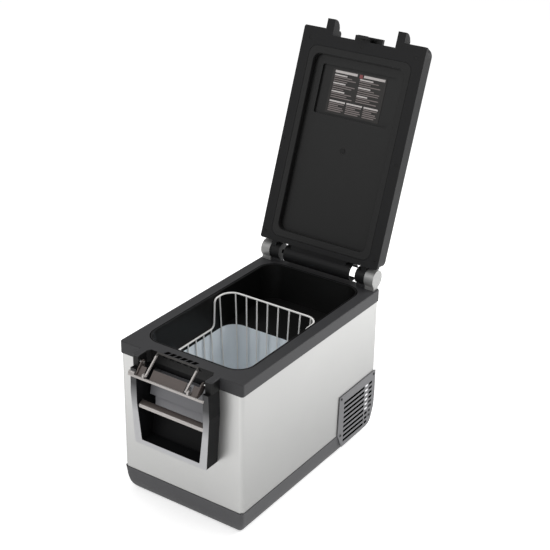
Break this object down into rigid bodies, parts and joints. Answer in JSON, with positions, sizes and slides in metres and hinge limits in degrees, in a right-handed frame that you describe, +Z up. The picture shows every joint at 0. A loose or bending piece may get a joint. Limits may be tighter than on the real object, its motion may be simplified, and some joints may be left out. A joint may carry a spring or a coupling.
{
  "type": "compressor cooler fridge",
  "caption": "Portable steel-sided compressor cooler with hinged lid, front draw latch, end grips, wire basket, vented compressor bay and fan.",
  "frame": {"origin": "middle of the cabinet footprint, on the floor that the rubber feet stand on", "axes": "+Z up; +Y from the latch end towards the hinge end; +X to the right seen from the latch end"},
  "size_m": [0.3858, 0.9168, 1.0973],
  "materials": {
    "brushed_steel_skin": "satin",
    "dark_grey_moulding": "satin",
    "base_moulding": "matte",
    "black_liner": "satin",
    "lid_charcoal": "satin",
    "tub_grey": "satin",
    "insulation": "matte",
    "rubber_black": "matte",
    "champagne_metal": "satin",
    "hinge_grey": "satin",
    "bright_steel": "satin",
    "black_screw": "satin",
    "coated_wire": "gloss",
    "grille_grey": "matte",
    "panel_grey": "gloss",
    "display_glass": "gloss",
    "button_grey": "matte",
    "circuit_board": "satin",
    "brass_insert": "satin",
    "evaporator_metal": "satin",
    "compressor_black": "gloss",
    "zinc_plate": "satin",
    "copper_tube": "satin",
    "fan_black": "satin",
    "electronics_case": "satin",
    "socket_black": "matte",
    "lens_white": "satin",
    "label_film": "satin"
  },
  "bodies": {
    "cabinet": {"ac_inlet": "socket_black", "base_inserts": "brass_insert", "base_tray": "base_moulding", "collar_liner": "black_liner", "compressor": "compressor_black", "compressor_controller": "electronics_case", "compressor_grommets": "rubber_black", "compressor_plate": "zinc_plate", "condenser_coil": "evaporator_metal", "control_board": "circuit_board", "control_panel": "panel_grey", "cover_screws": "black_screw", "dc_inlet": "socket_black", "discharge_tube": "copper_tube", "display_window": "display_glass", "drain_spout": "socket_black", "evaporator_panel": "evaporator_metal", "fan_frame": "fan_black", "fan_motor": "fan_black", "filter_drier": "copper_tube", "front_handle_bar": "champagne_metal", "front_handle_frame": "dark_grey_moulding", "handle_bolts": "bright_steel", "hinge_brackets": "hinge_grey", "hinge_pins": "bright_steel", "inner_tub": "tub_grey", "insulation_foam": "insulation", "interior_light": "lens_white", "latch_pins": "bright_steel", "outer_cabinet": "brushed_steel_skin", "power_supply": "electronics_case", "rear_handle_bar": "champagne_metal", "rear_handle_frame": "dark_grey_moulding", "rear_service_panel": "grille_grey", "rubber_feet": "rubber_black", "suction_tube": "copper_tube", "temperature_sensor": "lens_white", "top_rim": "dark_grey_moulding", "vent_grille_left": "grille_grey", "vent_grille_right": "grille_grey"},
    "lid": {"lid_shell": "lid_charcoal", "lid_inner_panel": "black_liner", "lid_foam": "insulation", "lid_gasket": "rubber_black", "latch_catch": "black_liner", "lid_label": "label_film", "lid_plug": "black_liner", "lid_screws": "black_screw"},
    "latch_lever": {"latch_lever": "champagne_metal", "bail_pins": "bright_steel"},
    "latch_bail": {"latch_bail": "champagne_metal"},
    "basket": {"basket_rail": "coated_wire", "basket_floor_wires": "coated_wire", "basket_upright_wires": "coated_wire"},
    "fan_rotor": {"fan_blades": "fan_black"},
    "drain_plug": {"drain_plug": "rubber_black"},
    "button_1": {"panel_button_1": "button_grey"},
    "button_2": {"panel_button_2": "button_grey"},
    "button_3": {"panel_button_3": "button_grey"},
    "button_4": {"panel_button_4": "button_grey"}
  },
  "joints": [
    {"name": "lid_hinge", "type": "hinge", "parent": "cabinet", "child": "lid", "pos_m": [0, 0.3112, 0.4705], "axis": [-1, 0, 0], "range_deg": [-109.9, 0]},
    {"name": "latch_lever_pivot", "type": "hinge", "parent": "cabinet", "child": "latch_lever", "pos_m": [0, -0.343, 0.423], "axis": [1, 0, 0], "range_deg": [-25, 14]},
    {"name": "latch_bail_pivot", "type": "hinge", "parent": "latch_lever", "child": "latch_bail", "pos_m": [0, -0.371, 0.407], "axis": [1, 0, 0], "range_deg": [-22, 30]},
    {"name": "basket_lift", "type": "slide", "parent": "cabinet", "child": "basket", "axis": [0, 0, 1], "range_m": [0, 0.36]},
    {"name": "fan_spin", "type": "hinge", "parent": "cabinet", "child": "fan_rotor", "pos_m": [0.118, 0.222, 0.092], "axis": [1, 0, 0], "continuous": true},
    {"name": "drain_plug_turn", "type": "hinge", "parent": "cabinet", "child": "drain_plug", "pos_m": [0, -0.09, 0.105], "axis": [0, 0, 1], "range_deg": [0, 90]},
    {"name": "button_1_press", "type": "slide", "parent": "cabinet", "child": "button_1", "axis": [0, 1, 0], "range_m": [0, 0.001], "stiffness_N_per_m": 800},
    {"name": "button_2_press", "type": "slide", "parent": "cabinet", "child": "button_2", "axis": [0, 1, 0], "range_m": [0, 0.001], "stiffness_N_per_m": 800},
    {"name": "button_3_press", "type": "slide", "parent": "cabinet", "child": "button_3", "axis": [0, 1, 0], "range_m": [0, 0.001], "stiffness_N_per_m": 800},
    {"name": "button_4_press", "type": "slide", "parent": "cabinet", "child": "button_4", "axis": [0, 1, 0], "range_m": [0, 0.001], "stiffness_N_per_m": 800}
  ]
}
